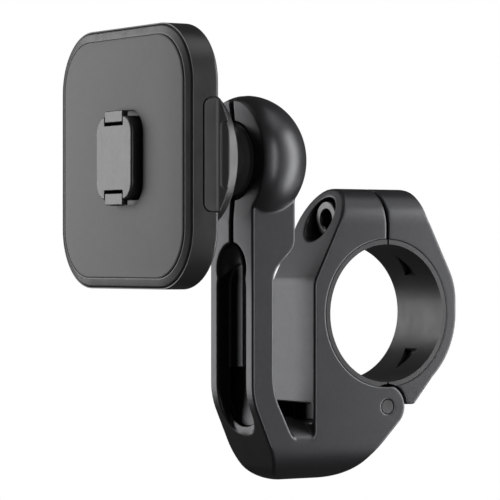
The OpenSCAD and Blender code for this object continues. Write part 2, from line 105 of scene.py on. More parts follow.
CLAMP_FRONT = 20.15      # from the bar's axis to the front half's upright face
ARM_T = 5.8
NECK_BACK_Y = -25.4
KNUCKLE_R = 5
KNUCKLE_GAP = 0.3
TONGUE_HALF = 4.4
EAR_FOOT_Z = 7.2
GAP_BEND_Z = -17.5       # below this the arm's back leans towards the clamp
GAP_FLOOR_Y, GAP_FLOOR_Z = -24.7, -30.5
SADDLE_R = 10.85         # mound on the gap's floor
SADDLE_Z = -23.6 - SADDLE_R
NICHE_HALF, NICHE_TOP, NICHE_Y = 7.6, -20.4, -14.5
TRENCH_HALF = 5.9
TRENCH_DEPTH = 3.6
TRENCH_TOP = 16.1
TRENCH_BOTTOM = -27.8
POCKET_R, POCKET_TOP, POCKET_BOTTOM, POCKET_Y = 7.9, -12.2, -25.5, -32
DOME_BACK = 13.2
SLIT_HALF = 0.65
RING_R = 13.6
RING_DIP = 0.45
MOUTH_R = 8.85
EDGE = 0.45              # round on the machined edges
WELL_W, WELL_H, WELL_R = 18.3, 21, 5
LATCH_W, LATCH_H, LATCH_R = 15.4, 18.4, 3.8
PAWL_HALF = 3.85
PAWL_IN, PAWL_OUT = 7.8, 10.4
PAWL_GAP = 0.65
PAWL_FOOT_IN, PAWL_FOOT_OUT = 6.9, 9
FOOT_FRONT_Z = -19       # where the arm's front starts to slope back
ARM_BEND_Z = 2           # where the foot's outline hands over to the neck's
LIP_GAP = 0.2            # between the ball and the socket's lip
CUP_ROOM, CUP_ROOM_Y = 1.5, -35.2
SLIT_DEEP_Z = 20         # above this the slit runs through the whole socket
BOLT_HOLE_R, COUNTERBORE_R, BOLT_SEAT_Y = 2.7, 5, -5.2
BOLT_HEAD_R, BOLT_HEAD_H, BOLT_R, BOLT_KEY = 4.25, 5, 2.1, 4
INSERT_R, INSERT_END_Y = 3.5, 8.5
TENSION_HOLE_R, TENSION_BORE_R, TENSION_SEAT_X = 2.7, 4.5, -4.2
TENSION_HEAD_R, TENSION_HEAD_H, TENSION_R, TENSION_KEY = 4.1, 3.2, 2.4, 3
HUB_R, HUB_WALL = 15.8, 2.5
STEM_R, STEM_NECK_R = 5.5, 3
SCREW_X, SCREW_DZ = 10.5, 22.5
ARC_STEP = math.radians(4)


# ---- outlines ----

def fillet(p, q, s, radius):
    """Points of the arc that rounds corner q, between its neighbours p and s."""
    u, v = (p - q).normalized(), (s - q).normalized()
    half = u.angle(v) / 2
    centre = q + (u + v).normalized() * radius / math.sin(half)
    first = q + u * radius / math.tan(half) - centre
    last = q + v * radius / math.tan(half) - centre
    sweep = math.copysign(math.pi - 2 * half, first.x * last.y - first.y * last.x)
    steps = max(2, math.ceil(abs(sweep) / ARC_STEP))
    turns = [Matrix.Rotation(sweep * i / steps, 2) for i in range(steps + 1)]
    return [centre + turn @ first for turn in turns]


def rounded(corners):
    """Outline from corners (a, b, radius); a radius of 0 leaves the corner sharp."""
    flat = [Vector((a, b)) for a, b, _ in corners]
    outline = []
    for i, (_, _, radius) in enumerate(corners):
        after = flat[(i + 1) % len(flat)]
        outline += fillet(flat[i - 1], flat[i], after, radius) if radius else [flat[i]]
    return outline


# ---- solids as signed distance fields, in millimetres ----

class Grid:
    """Even grid over a box, as three arrays that broadcast together."""

    def __init__(self, low, high, step):
        self.low, self.step = np.array(low, float), step
        counts = [int(math.ceil((b - a) / step)) + 1 for a, b in zip(low, high)]
        axes = [a + step * np.arange(n) for a, n in zip(low, counts)]
        self.x = axes[0].astype(np.float32)[:, None, None]
        self.y = axes[1].astype(np.float32)[None, :, None]
        self.z = axes[2].astype(np.float32)[None, None, :]


def join(a, b, radius=0):
    if not radius:
        return np.minimum(a, b)
    corner = np.hypot(np.maximum(radius - a, 0), np.maximum(radius - b, 0))
    return np.maximum(radius, np.minimum(a, b)) - corner


def common(a, b, radius=0):
    return -join(-a, -b, radius)


def cut(a, b, radius=0):
    return common(a, -b, radius)


def polygon(a, b, outline):
    """Distance to a closed outline in the plane of a and b, negative inside."""
    shape = np.broadcast(a, b).shape
    nearest = np.full(shape, np.inf, np.float32)
    inside = np.zeros(shape, bool)
    for p, q in zip(outline, outline[1:] + outline[:1]):
        side = q - p
        share = ((a - p.x) * side.x + (b - p.y) * side.y) / side.length_squared
        share = np.clip(share, 0, 1)
        gap = np.hypot(a - p.x - share * side.x, b - p.y - share * side.y)
        nearest = np.minimum(nearest, gap)
        if p.y != q.y:
            crosses = (p.y > b) != (q.y > b)
            inside ^= crosses & (a < side.x * (b - p.y) / side.y + p.x)
    return np.where(inside, -nearest, nearest).astype(np.float32)


def rounded_box(a, b, half_a, half_b, radius):
    over_a = np.abs(a) - half_a + radius
    over_b = np.abs(b) - half_b + radius
    outside = np.hypot(np.maximum(over_a, 0), np.maximum(over_b, 0))
    return outside + np.minimum(np.maximum(over_a, over_b), 0) - radius


def slot_field(a, b, radius, low, high):
    """A long slot with round ends at b = low and b = high."""
    return np.hypot(a, b - np.clip(b, low + radius, high - radius)) - radius


def slab(a, low, high):
    return np.abs(a - (low + high) / 2) - (high - low) / 2


def disc(a, b, radius):
    return np.hypot(a, b) - radius


def sampled(field, at):
    """Field at points in grid steps, between its eight neighbours."""
    at = np.clip(at, 0, np.array(field.shape) - 1.001)
    base = np.floor(at).astype(int)
    share = at - base
    total = np.zeros(len(at))
    for i in (0, 1):
        for j in (0, 1):
            for k in (0, 1):
                weight = (np.abs(1 - i - share[:, 0]) * np.abs(1 - j - share[:, 1])
                          * np.abs(1 - k - share[:, 2]))
                total += weight * field[base[:, 0] + i, base[:, 1] + j, base[:, 2] + k]
    return total


def slope(field, at, reach):
    """Unit direction in which the field grows."""
    parts = []
    for axis in range(3):
        step = np.zeros(3)
        step[axis] = reach
        parts.append(sampled(field, at + step) - sampled(field, at - step))
    direction = np.stack(parts, 1)
    return direction / np.maximum(np.linalg.norm(direction, axis=1, keepdims=True), 1e-9)


def solid(name, grid, field, merge=0.0, at=Matrix()):
    """Mesh of a field's surface, with the field's own directions as its normals, turned
    and moved by a matrix in millimetres."""
    field = np.ascontiguousarray(field, np.float32)
    volume = openvdb.FloatGrid(10.0)
    volume.copyFromArray(field)
    points, triangles, quads = volume.convertToPolygons(0.0, merge)
    points = points.astype(float)
    for _ in range(2):
        out = slope(field, points, 0.5)
        points -= out * sampled(field, points)[:, None] / grid.step
    out = slope(field, points, 0.8)
    faces = [tuple(f) for f in quads.tolist()] + [tuple(f) for f in triangles.tolist()]
    first = np.array(quads[:200] if len(quads) else triangles[:200])
    sides = np.cross(points[first[:, 1]] - points[first[:, 0]],
                     points[first[:, 2]] - points[first[:, 0]])
    if (sides * out[first[:, 0]]).sum() < 0:
        faces = [f[::-1] for f in faces]
    turn = np.array(at.to_3x3())
    points = (grid.low + points * grid.step) @ turn.T + np.array(at.translation)
    mesh = bpy.data.meshes.new(name)
    mesh.from_pydata((points * MM).tolist(), [], faces)
    mesh.shade_smooth()
    mesh.normals_split_custom_set_from_vertices((out @ turn.T).tolist())
    return placed(name, mesh)


def placed(name, mesh):
    thing = bpy.data.objects.new(name, mesh)
    bpy.context.scene.collection.objects.link(thing)
    return thing


# ---- swept solids ----

def rounded_ring(width, height, radius, per_corner=20):
    """Points round a rounded rectangle in X and Z."""
    ring = []
    for turn, (sx, sz) in enumerate(((1, 1), (-1, 1), (-1, -1), (1, -1))):
        for i in range(per_corner + 1):
            angle = (turn + i / per_corner) * math.pi / 2
            ring.append((sx * (width / 2 - radius) + radius * math.cos(angle),
                         sz * (height / 2 - radius) + radius * math.sin(angle)))
    return ring


def circle_ring(radius, count=96):
    return [(radius * math.cos(2 * math.pi * i / count),
             radius * math.sin(2 * math.pi * i / count)) for i in range(count)]


def swept(name, profile, ring_at, centre_z, closed=False, sharp=30):
    """Solid from rings (x, z) at each profile point (size, y), from front to back or round
    a closed profile. Open ends are closed with a flat face."""
    rings = [ring_at(size) for size, _ in profile]
    count = len(rings[0])
    points = [(x * MM, y * MM, (z + centre_z) * MM)
              for ring, (_, y) in zip(rings, profile) for x, z in ring]
    spans = len(profile) if closed else len(profile) - 1
    faces = []
    for i in range(spans):
        here, after = i * count, (i + 1) % len(profile) * count
        for k in range(count):
            nxt = (k + 1) % count
            faces.append((here + k, here + nxt, after + nxt, after + k))
    if not closed:
        faces.append(tuple(reversed(range(count))))
        faces.append(tuple((len(profile) - 1) * count + k for k in range(count)))
    return finished(name, points, faces, sharp)


def finished(name, points, faces, sharp=30):
    mesh = bpy.data.meshes.new(name)
    mesh.from_pydata(points, [], faces)
    mesh.validate()
    thing = placed(name, mesh)
    outward(mesh)
    mesh.shade_smooth()
    mesh.set_sharp_from_angle(angle=math.radians(sharp))
    return thing


def outward(mesh):
    """Turns every face outwards."""
    work = bmesh.new()
    work.from_mesh(mesh)
    bmesh.ops.recalc_face_normals(work, faces=work.faces)
    work.to_mesh(mesh)
    work.free()


def plate_ring(width, height, radius):
    """Ring maker for swept(): a rounded rectangle drawn in by the size."""
    return lambda inset: rounded_ring(width - 2 * inset, height - 2 * inset,
                                      max(radius - inset, 0.3))


def carved(thing, cutter):
    """Cuts one mesh out of another and removes the cutter."""
    step = thing.modifiers.new("cut", "BOOLEAN")
    step.operation, step.solver, step.object = "DIFFERENCE", "EXACT", cutter
    bpy.context.view_layer.update()
    shown = thing.evaluated_get(bpy.context.evaluated_depsgraph_get())
    mesh = bpy.data.meshes.new_from_object(shown)
    thing.modifiers.clear()
    old, thing.data = thing.data, mesh
    bpy.data.meshes.remove(old)
    bpy.data.objects.remove(cutter)
    mesh.set_sharp_from_angle(angle=math.radians(30))
    return thing


# ---- materials ----

class Nodes:
    """A material's node tree, with short ways to add what every material here uses."""

    def __init__(self, name, colour, roughness, metallic=0.0, specular=0.5):
        self.material = bpy.data.materials.new(name)
        self.material.use_nodes = True
        self.tree = self.material.node_tree
        self.shader = self.tree.nodes["Principled BSDF"]
        self.shader.inputs["Base Color"].default_value = (*colour, 1)
        self.shader.inputs["Roughness"].default_value = roughness
        self.shader.inputs["Metallic"].default_value = metallic
        self.shader.inputs["Specular IOR Level"].default_value = specular
        self.place = self.tree.nodes.new("ShaderNodeTexCoord").outputs["Object"]
        self.colour, self.roughness = colour, roughness

    def noise(self, scale, detail=3.0, stretch=None):
        """Noise of that many cells in a metre, stretched along an axis if asked."""
        source = self.place
        if stretch:
            mapping = self.tree.nodes.new("ShaderNodeMapping")
            mapping.inputs["Scale"].default_value = stretch
            self.tree.links.new(source, mapping.inputs["Vector"])
            source = mapping.outputs["Vector"]
        texture = self.tree.nodes.new("ShaderNodeTexNoise")
        texture.inputs["Scale"].default_value = scale
        texture.inputs["Detail"].default_value = detail
        self.tree.links.new(source, texture.inputs["Vector"])
        return texture.outputs["Fac"]

    def ranged(self, source, low, high, start=0.3, end=0.7):
        spread = self.tree.nodes.new("ShaderNodeMapRange")
        spread.inputs["From Min"].default_value = start
        spread.inputs["From Max"].default_value = end
        spread.inputs["To Min"].default_value = low
        spread.inputs["To Max"].default_value = high
        self.tree.links.new(source, spread.inputs["Value"])
        return spread.outputs["Result"]

    def vary_colour(self, source, amount):
        """Base colour from darker to lighter by that share."""
        mix = self.tree.nodes.new("ShaderNodeMix")
        mix.data_type = "RGBA"
        mix.inputs[6].default_value = (*[c * (1 - amount) for c in self.colour], 1)
        mix.inputs[7].default_value = (*[c * (1 + amount) for c in self.colour], 1)
        self.tree.links.new(self.ranged(source, 0, 1), mix.inputs["Factor"])
        self.tree.links.new(mix.outputs[2], self.shader.inputs["Base Color"])
        return self

    def vary_roughness(self, source, amount):
        low, high = self.roughness - amount, self.roughness + amount
        self.tree.links.new(self.ranged(source, low, high), self.shader.inputs["Roughness"])
        return self

    def bump(self, source, strength, depth):
        bump = self.tree.nodes.new("ShaderNodeBump")
        bump.inputs["Strength"].default_value = strength
        bump.inputs["Distance"].default_value = depth
        self.tree.links.new(source, bump.inputs["Height"])
        self.tree.links.new(bump.outputs["Normal"], self.shader.inputs["Normal"])
        return self


def anodised(name, colour, roughness):
    """Bead-blasted, black anodised aluminium: fine grain and faint cloudiness."""
    made = Nodes(name, colour, roughness, metallic=0.75)
    made.vary_colour(made.noise(900, 4), 0.05)
    made.vary_roughness(made.noise(300, 3), 0.012)
    made.bump(made.noise(5200, 2), 0.08, 0.00003)
    return made.material


def moulded(name, colour, roughness):
    """Satin moulded plastic with a fine spark-eroded grain."""
    made = Nodes(name, colour, roughness)
    made.vary_colour(made.noise(700, 3), 0.06)
    made.vary_roughness(made.noise(240, 3), 0.04)
    made.bump(made.noise(4200, 3), 0.15, 0.00004)
    return made.material


def soft_rubber(name, colour, roughness):
    """Soft pad with a very fine, dry, slightly mottled surface."""
    made = Nodes(name, colour, roughness, specular=0.5)
    made.shader.inputs["Sheen Weight"].default_value = 0.15
    made.shader.inputs["Sheen Roughness"].default_value = 0.6
    made.vary_colour(made.noise(420, 5), 0.03)
    made.vary_roughness(made.noise(900, 3), 0.01)
    made.bump(made.noise(3400, 4), 0.2, 0.00005)
    return made.material


def turned_metal(name, colour, roughness, metallic=1.0):
    """Turned or drawn metal: faint lines round the part and slight cloudiness."""
    made = Nodes(name, colour, roughness, metallic=metallic)
    made.vary_colour(made.noise(1200, 3), 0.08)
    made.vary_roughness(made.noise(500, 3), 0.05)
    made.bump(made.noise(2600, 2, stretch=(1, 6, 1)), 0.1, 0.00002)
    return made.material


METAL = anodised("black_anodised", (0.06, 0.061, 0.064), 0.36)
BALL_METAL = anodised("polished_anodised", (0.09, 0.09, 0.095), 0.2)
LATCH_METAL = anodised("grey_anodised", (0.125, 0.125, 0.127), 0.42)
PLASTIC = moulded("satin_plastic", (0.02, 0.02, 0.021), 0.36)
BUTTON_PLASTIC = moulded("button_plastic", (0.035, 0.035, 0.037), 0.4)
LINER = moulded("liner_plastic", (0.03, 0.03, 0.032), 0.42)
PAD = soft_rubber("pad_rubber", (0.19, 0.19, 0.193), 0.55)
BLACK_STEEL = turned_metal("black_oxide_steel", (0.09, 0.09, 0.092), 0.35)
BRIGHT_STEEL = turned_metal("plain_steel", (0.5, 0.5, 0.51), 0.32)
NICKEL = turned_metal("nickel_plate", (0.6, 0.59, 0.56), 0.2)


def dressed(thing, material, slot_name, body, *nodes):
    """Material, body and the CAD nodes that the piece stands for; slot_name is not used."""
    thing.data.materials.clear()
    thing.data.materials.append(material)
    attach(thing, body)
    if nodes:
        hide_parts(*nodes)
    return thing


# ---- arm and clamp ----

def clamp_outline():
    """Foot of the arm and front half of the clamp, seen along X."""
    ear_y = -CLAMP_FRONT + math.tan(math.radians(26.9)) * (CLAMP_TOP - EAR_FOOT_Z)
    back = ARM_T - ARM_FRONT
    low = KNUCKLE_R * math.sqrt(0.5)
    return rounded([
        (SPLIT_FRONT, CLAMP_TOP, 0), (ear_y, CLAMP_TOP, 0.8),
        (-CLAMP_FRONT, EAR_FOOT_Z, 5), (-CLAMP_FRONT, GAP_FLOOR_Z, 0),
        (GAP_FLOOR_Y, GAP_FLOOR_Z, 0), (back, GAP_BEND_Z, 15), (back, ARM_BEND_Z, 0),
        (-ARM_FRONT, ARM_BEND_Z, 0), (-ARM_FRONT, FOOT_FRONT_Z, 16),
        (-28.6, -ARM_DROP, 6), (-9.2, -ARM_DROP, 14),
        (PIN.y + low, PIN.z - low, 0), (PIN.y, PIN.z, 0), (SPLIT_FRONT, PIN.z, 0)])


def neck_outline():
    """Upper arm with the thick neck that carries the socket, seen along X."""
    back = ARM_T - ARM_FRONT
    return rounded([
        (-ARM_FRONT, -2, 0), (back, -2, 0), (back, 9.6, 5), (NECK_BACK_Y, 15.2, 4),
        (NECK_BACK_Y, 26.8, 0), (-ARM_FRONT, 26.8, 0)])


def arm_field(g):
    ends = slot_field(g.x, g.z, HALF_W, -ARM_DROP, CLAMP_TOP)
    side = join(polygon(g.y, g.z, clamp_outline()),
                disc(g.y - PIN.y, g.z - PIN.z, KNUCKLE_R))
    saddle = common(disc(g.x, g.z - SADDLE_Z, SADDLE_R), GAP_FLOOR_Z - 1.5 - g.z)
    saddle = common(saddle, slab(g.y, GAP_FLOOR_Y - 4, -CLAMP_FRONT + 2))
    foot = common(join(side, saddle, 0.8), ends, EDGE)
    neck = common(polygon(g.y, g.z, neck_outline()), np.abs(g.x) - HALF_W, EDGE)
    from_ball = np.sqrt(g.x ** 2 + (g.y - BALL.y) ** 2 + (g.z - BALL.z) ** 2)
    dome_front = (ARM_FRONT + BALL.y) / math.sin(math.acos(RING_R / SOCKET_R))
    long = (g.y - BALL.y) / np.where(g.y < BALL.y, dome_front, DOME_BACK)
    dome = np.sqrt((g.x ** 2 + (g.z - BALL.z) ** 2) / SOCKET_R ** 2 + long ** 2) - 1
    socket = common(dome * DOME_BACK, -ARM_FRONT - g.y, 0.35)
    body = join(join(foot, neck), socket, 0.35)
    body = cut(body, disc(g.y, g.z, HOUSING_R), 0.25)
    # recess down the arm's front, with a bowl at its top and an undercut pocket at its foot
    straight = TRENCH_TOP - TRENCH_HALF
    depth = slab(g.y, -ARM_FRONT - 20, -ARM_FRONT + TRENCH_DEPTH)
    outline = slot_field(g.x, g.z, TRENCH_HALF, TRENCH_BOTTOM, straight + 1.6)
    outline = common(outline, g.z - straight - 1.4)
    recess = common(outline, depth, 0.6)
    bowl_y = TRENCH_DEPTH / TRENCH_HALF
    reach = np.sqrt(g.x ** 2 + ((g.y + ARM_FRONT) / bowl_y) ** 2 + (g.z - straight) ** 2)
    bowl = (reach - TRENCH_HALF) * bowl_y
    recess = join(recess, bowl)
    pocket = common(slot_field(g.x, g.z, POCKET_R, POCKET_BOTTOM, TRENCH_TOP),
                    g.z - POCKET_TOP)
    pocket = common(pocket, slab(g.y, -ARM_FRONT + TRENCH_DEPTH, POCKET_Y))
    body = cut(body, join(recess, pocket), 0.35)
    # room for the ball, the dished ring round its mouth and the slit that lets it close
    room = common(from_ball - BALL_R - CUP_ROOM, CUP_ROOM_Y - g.y)
    body = cut(body, join(from_ball - BALL_R - LIP_GAP, room), 0.1)
    dish = -ARM_FRONT + RING_DIP * (RING_R - np.hypot(g.x, g.z - BALL.z)) / (RING_R - MOUTH_R)
    body = cut(body, common(g.y - dish, disc(g.x, g.z - BALL.z, RING_R)), 0.05)
    mouth = common(disc(g.x, g.z - BALL.z, MOUTH_R), g.y - BALL.y)
    body = cut(body, mouth, 0.12)
    behind = join(common(POCKET_TOP - 1 - g.z, g.y - NECK_BACK_Y - 0.5),
                  common(SLIT_DEEP_Z - g.z, g.y + 18))
    body = cut(body, common(np.abs(g.x) - SLIT_HALF, behind), 0.2)
    # clamp bolt: clearance hole and counterbore
    body = cut(body, common(disc(g.x, g.z - BOLT_Z, BOLT_HOLE_R), slab(g.y, -18, 8)), 0.2)
    counterbore = common(disc(g.x, g.z - BOLT_Z, COUNTERBORE_R),
                         slab(g.y, -30, BOLT_SEAT_Y), 0.15)
    body = cut(body, counterbore, 0.3)
    # niche at the bottom of the gap, just above the mound
    niche = common(np.abs(g.x) - NICHE_HALF, slab(g.y, -CLAMP_FRONT - 1, NICHE_Y))
    niche = common(niche, slab(g.z, SADDLE_Z + SADDLE_R - 1, NICHE_TOP), 0.4)
    body = cut(body, niche, 0.25)
    # hinge fork and pin hole
    fork = common(np.abs(g.x) - TONGUE_HALF - 0.25, join(
        disc(g.y - PIN.y, g.z - PIN.z, KNUCKLE_R + KNUCKLE_GAP),
        common(g.z - PIN.z - 4.4, -4.6 - g.y)))
    body = cut(body, fork, 0.25)
    body = cut(body, disc(g.y - PIN.y, g.z - PIN.z, PIN_R + 0.12), 0.2)
    # tension bolt
    from_bolt = np.hypot(g.y - TENSION.y, g.z - TENSION.z)
    body = cut(body, common(from_bolt - TENSION_HOLE_R, g.x - 6.9), 0.1)
    return cut(body, common(from_bolt - TENSION_BORE_R, g.x - TENSION_SEAT_X), 0.3)


def make_arm():
    grid = Grid((-SOCKET_R - 0.7, -ARM_FRONT - 0.7, -ARM_DROP - 0.7),
                (SOCKET_R + 0.7, PIN.y + KNUCKLE_R + 0.7, BALL.z + SOCKET_R + 0.7), 0.3)
    arm = solid("arm_machined", grid, arm_field(grid))
    return dressed(arm, METAL, "anodised_metal", "mount_arm", "arm_body")


def rear_outline():
    """Rear half of the clamp above the bar's axis, seen along X."""
    return rounded([
        (SPLIT_REAR, CLAMP_TOP, 0), (10.4, CLAMP_TOP, 1.5), (11.9, 21.9, 8),
        (REAR_R, 6.5, 15), (REAR_R, 0, 0), (SPLIT_REAR, 0, 0)])


def tail_outline():
    """Lower end of the rear half, which bears on the hinge."""
    return rounded([(SPLIT_REAR, -10, 0), (14.2, -13.9, 0), (7.9, -21.2, 0.8),
                    (SPLIT_REAR, -21.2, 0)])


def rear_field(g):
    around_pin = np.hypot(g.y - PIN.y, g.z - PIN.z)
    side = join(polygon(g.y, g.z, rear_outline()),
                common(disc(g.y, g.z, REAR_R), SPLIT_REAR - g.y))
    side = join(side, polygon(g.y, g.z, tail_outline()))
    side = cut(side, around_pin - KNUCKLE_R - KNUCKLE_GAP, 0.2)
    ends = slot_field(g.x, g.z, HALF_W, -ARM_DROP, CLAMP_TOP)
    body = common(side, ends, EDGE)
    root = polygon(g.y, g.z, [
        Vector((PIN.y, PIN.z)), Vector((PIN.y + 5, PIN.z + 0.8)),
        Vector((PIN.y + 6, PIN.z + 4)), Vector((PIN.y + 3, PIN.z + 5.6)),
        Vector((SPLIT_REAR, PIN.z + 5.6)), Vector((SPLIT_REAR, PIN.z))])
    tongue = common(join(around_pin - KNUCKLE_R + 0.2, root), np.abs(g.x) - TONGUE_HALF, 0.25)
    body = join(body, tongue)
    body = cut(body, disc(g.y, g.z, HOUSING_R), 0.25)
    body = cut(body, around_pin - PIN_R - 0.05, 0.1)
    return cut(body, common(disc(g.x, g.z - BOLT_Z, INSERT_R),
                            slab(g.y, -5, INSERT_END_Y)), 0.15)


def make_rear_clamp():
    grid = Grid((-HALF_W - 0.6, PIN.y - KNUCKLE_R - 0.6, PIN.z - KNUCKLE_R - 0.6),
                (HALF_W + 0.6, REAR_R + 0.6, CLAMP_TOP + 0.6), 0.26)
    clamp = solid("rear_half_machined", grid, rear_field(grid))
    return dressed(clamp, METAL, "anodised_metal", "rear_half", "rear_clamp")


def cap_screw_field(g, head_r, head_h, shank_r, length, key):
    """Socket head screw along Y with its head's underside at y = 0."""
    around = np.hypot(g.x, g.z)
    knurl = 0.07 * np.cos(36 * np.arctan2(g.x, g.z)) * (np.abs(g.y + head_h / 2) < head_h * 0.36)
    head = common(around - head_r + 0.07 + knurl, slab(g.y, -head_h, 0), 0.35)
    thread = 0.1 * np.cos(2 * math.pi * g.y / 0.8 + np.arctan2(g.x, g.z))
    shank = common(around - shank_r + 0.1 + thread * (g.y > 2), slab(g.y, -0.5, length), 0.3)
    screw = join(head, shank, 0.1)
    across = np.maximum.reduce([np.abs(g.x * math.cos(a) + g.z * math.sin(a)) - key / 2
                                for a in np.radians((0, 60, 120))])
    cone = (around - key * 0.62) + (g.y + head_h) * 1.0
    recess = join(common(across, slab(g.y, -head_h - 5, -head_h * 0.45)), cone)
    return cut(screw, recess, 0.06)


def cap_screw(name, at, along, head_r, head_h, shank_r, length, key):
    grid = Grid((-head_r - 0.5, -head_h - 0.5, -head_r - 0.5),
                (head_r + 0.5, length + 0.5, head_r + 0.5), 0.13)
    turn = Vector((0, 1, 0)).rotation_difference(along).to_matrix().to_4x4()
    return solid(name, grid, cap_screw_field(grid, head_r, head_h, shank_r, length, key),
                 at=Matrix.Translation(at) @ turn)


def make_screws():
    washer = corner_mm("clamp_washer", 0).y
    end = corner_mm("clamp_bolt", 1).y
    screw = cap_screw("clamp_screw_head", Vector((0, washer, BOLT_Z)), Vector((0, 1, 0)),
                      BOLT_HEAD_R, BOLT_HEAD_H, BOLT_R, end - washer, BOLT_KEY)
    dressed(screw, BLACK_STEEL, "black_steel", "clamp_screw", "clamp_bolt")
    washer = corner_mm("tension_washer", 0).x
    end = corner_mm("tension_bolt", 1).x
    screw = cap_screw("tension_screw_head", Vector((washer, TENSION.y, TENSION.z)),
                      Vector((1, 0, 0)), TENSION_HEAD_R, TENSION_HEAD_H, TENSION_R,
                      end - washer, TENSION_KEY)
    dressed(screw, BLACK_STEEL, "black_steel", "tension_screw", "tension_bolt")


# ---- ball joint and hub ----

def make_ball_stud():
    """Ball, waisted stem and the neck that the plate turns on, as one turned piece."""
    start = corner_mm("ball_stud", 0).y
    shoulder = HUB_Y + 0.7
    meet = math.asin(STEM_R / BALL_R)
    profile = [(STEM_NECK_R - 0.3, start), (STEM_NECK_R, start + 0.3),
               (STEM_NECK_R, shoulder), (STEM_R - 0.3, shoulder), (STEM_R, shoulder + 0.3)]
    profile += [(BALL_R * math.sin(a), BALL.y - BALL_R * math.cos(a))
                for a in np.linspace(meet, math.pi - 0.05, 60)]
    stud = swept("ball_and_stem", profile, circle_ring, BALL.z)
    dressed(stud, BALL_METAL, "ball_metal", "ball_tilt", "ball_stud")


def make_hub():
    """Round hub behind the plate."""
    bore, inner = STEM_NECK_R + 0.05, HUB_Y - HUB_WALL
    outer = rounded([(bore, HUB_Y, 0), (HUB_R, HUB_Y, 0.9), (HUB_R + 0.8, HUB_Y - 3.5, 10),
                     (HUB_BASE_R, BACK_Y, 0), (HUB_BASE_R - 1.5, BACK_Y, 0),
                     (HUB_BASE_R - HUB_WALL, BACK_Y - 0.9, 0), (HUB_R - HUB_WALL, inner, 1),
                     (bore, inner, 0)])
    hub = swept("hub_turned", [(p.x, p.y) for p in outer], circle_ring, HEAD_Z, closed=True)
    dressed(hub, PLASTIC, "shell_plastic", "phone_plate", "back_hub")


# ---- phone plate ----

def make_pad():
    """Soft pad with a slightly rounded rim, open round the latch."""
    back = corner_mm("face_pad", 1).y
    rim = 0.35
    outer = [(0, back), (0, PAD_Y + rim)]
    outer += [(rim * (1 - math.cos(a)), PAD_Y + rim * (1 - math.sin(a)))
              for a in np.linspace(0, math.pi / 2, 6)[1:]]
    pad = swept("pad_moulded", outer, plate_ring(PAD_W, PAD_H, PAD_R), HEAD_Z)
    well = swept("well", [(0, PAD_Y - 1), (0, back + 1)],
                 lambda inset: rounded_ring(WELL_W, WELL_H, WELL_R), HEAD_Z)
    carved(pad, well)
    dressed(pad, PAD, "pad_rubber", "phone_plate", "face_pad")


def make_front_frame():
    """Narrow rim round the pad: a lip beside the pad's groove, a rounded shoulder and a
    step at the seam, with the plate behind the pad."""
    back = corner_mm("face_pad", 1).y
    plate_back = FLANGE_Y - 0.9
    inner = (PLATE_W - PAD_W) / 2 - 0.35
    profile = rounded([
        (inner, back, 0), (inner, FRAME_Y, 0.18), (2.2, FRAME_Y, 0.35),
        (0.02, SEAM_Y - 0.12, 1.1), (0.02, SEAM_Y + 0.02, 0), (0.6, SEAM_Y + 0.02, 0),
        (2.6, SEAM_Y + 0.02, 0), (2.6, plate_back, 0), (6, plate_back, 0), (6, back, 0)])
    rim = swept("rim_moulded", [(p.x, p.y) for p in profile],
                plate_ring(PLATE_W, PLATE_H, PLATE_R), HEAD_Z, closed=True, sharp=25)
    dressed(rim, PLASTIC, "shell_plastic", "phone_plate", "front_frame")


def make_rear_shell():
    """Tray behind the rim, with a crisp bevel at its seam and rounded back edges."""
    wall, floor = 2.4, 2.2
    profile = [(wall, SEAM_Y + 0.02), (0.55, SEAM_Y + 0.02), (0.02, SEAM_Y + 0.45)]
    turn = 1.0
    profile += [(turn * (1 - math.cos(a)), BACK_Y - turn * (1 - math.sin(a)))
                for a in np.linspace(0, math.pi / 2, 9)]
    back = swept("shell_moulded", [(wall, BACK_Y - floor)] + profile,
                 plate_ring(PLATE_W, PLATE_H, PLATE_R), HEAD_Z)
    for side in (-1, 1):
        carved(back, notch_cutter(side))
    for x in (-SCREW_X, SCREW_X):
        for z in (-SCREW_DZ, SCREW_DZ):
            hole = swept("hole", [(2.2, BACK_Y - 1.2), (2.2, BACK_Y + 1)], circle_ring,
                         HEAD_Z + z)
            hole.data.transform(Matrix.Translation((x * MM, 0, 0)))
            carved(back, hole)
    dressed(back, PLASTIC, "shell_plastic", "phone_plate", "rear_shell")


def notch_cutter(side):
    """Rounded block that opens a side of the shell for its button."""
    half_h, front, radius = 12.4, -62.35, 2.25
    outline = rounded([(front, -half_h, radius), (-50, -half_h, 0), (-50, half_h, 0),
                       (front, half_h, radius)])
    count = len(outline)
    ends = [side * 22.4, side * 40]
    points = [(x * MM, p.x * MM, (p.y + HEAD_Z) * MM) for x in ends for p in outline]
    faces = [(k, (k + 1) % count, count + (k + 1) % count, count + k) for k in range(count)]
    faces += [tuple(range(count)), tuple(range(count, 2 * count))]
    return finished("notch", points, faces)


def latch_field(g):
    z = g.z - HEAD_Z
    block = common(rounded_box(g.x, z, LATCH_W / 2, LATCH_H / 2, LATCH_R),
                   slab(g.y, LATCH_Y, FLANGE_Y - 0.5), 0.45)
    flange = common(rounded_box(g.x, z, WELL_W / 2 + 3, WELL_H / 2 + 3, WELL_R),
                    slab(g.y, FLANGE_Y - 0.9, FLANGE_Y), 0.1)
    body = join(block, flange, 0.2)
    slots = common(np.abs(g.x) - PAWL_HALF - 0.12, PAWL_IN - PAWL_GAP - np.abs(z))
    front = common(slots, g.y - FLANGE_Y + 0.9)
    behind = common(slots, np.abs(z) - PAWL_FOOT_OUT - 0.1)
    return cut(body, join(front, behind), 0.12)


def make_latch():
    grid = Grid((-12.6, LATCH_Y - 0.4, HEAD_Z - 14), (12.6, FLANGE_Y + 0.4, HEAD_Z + 14), 0.14)
    latch = solid("latch_block", grid, latch_field(grid), merge=0.02)
    dressed(latch, LATCH_METAL, "latch_metal", "phone_plate", "latch_boss")


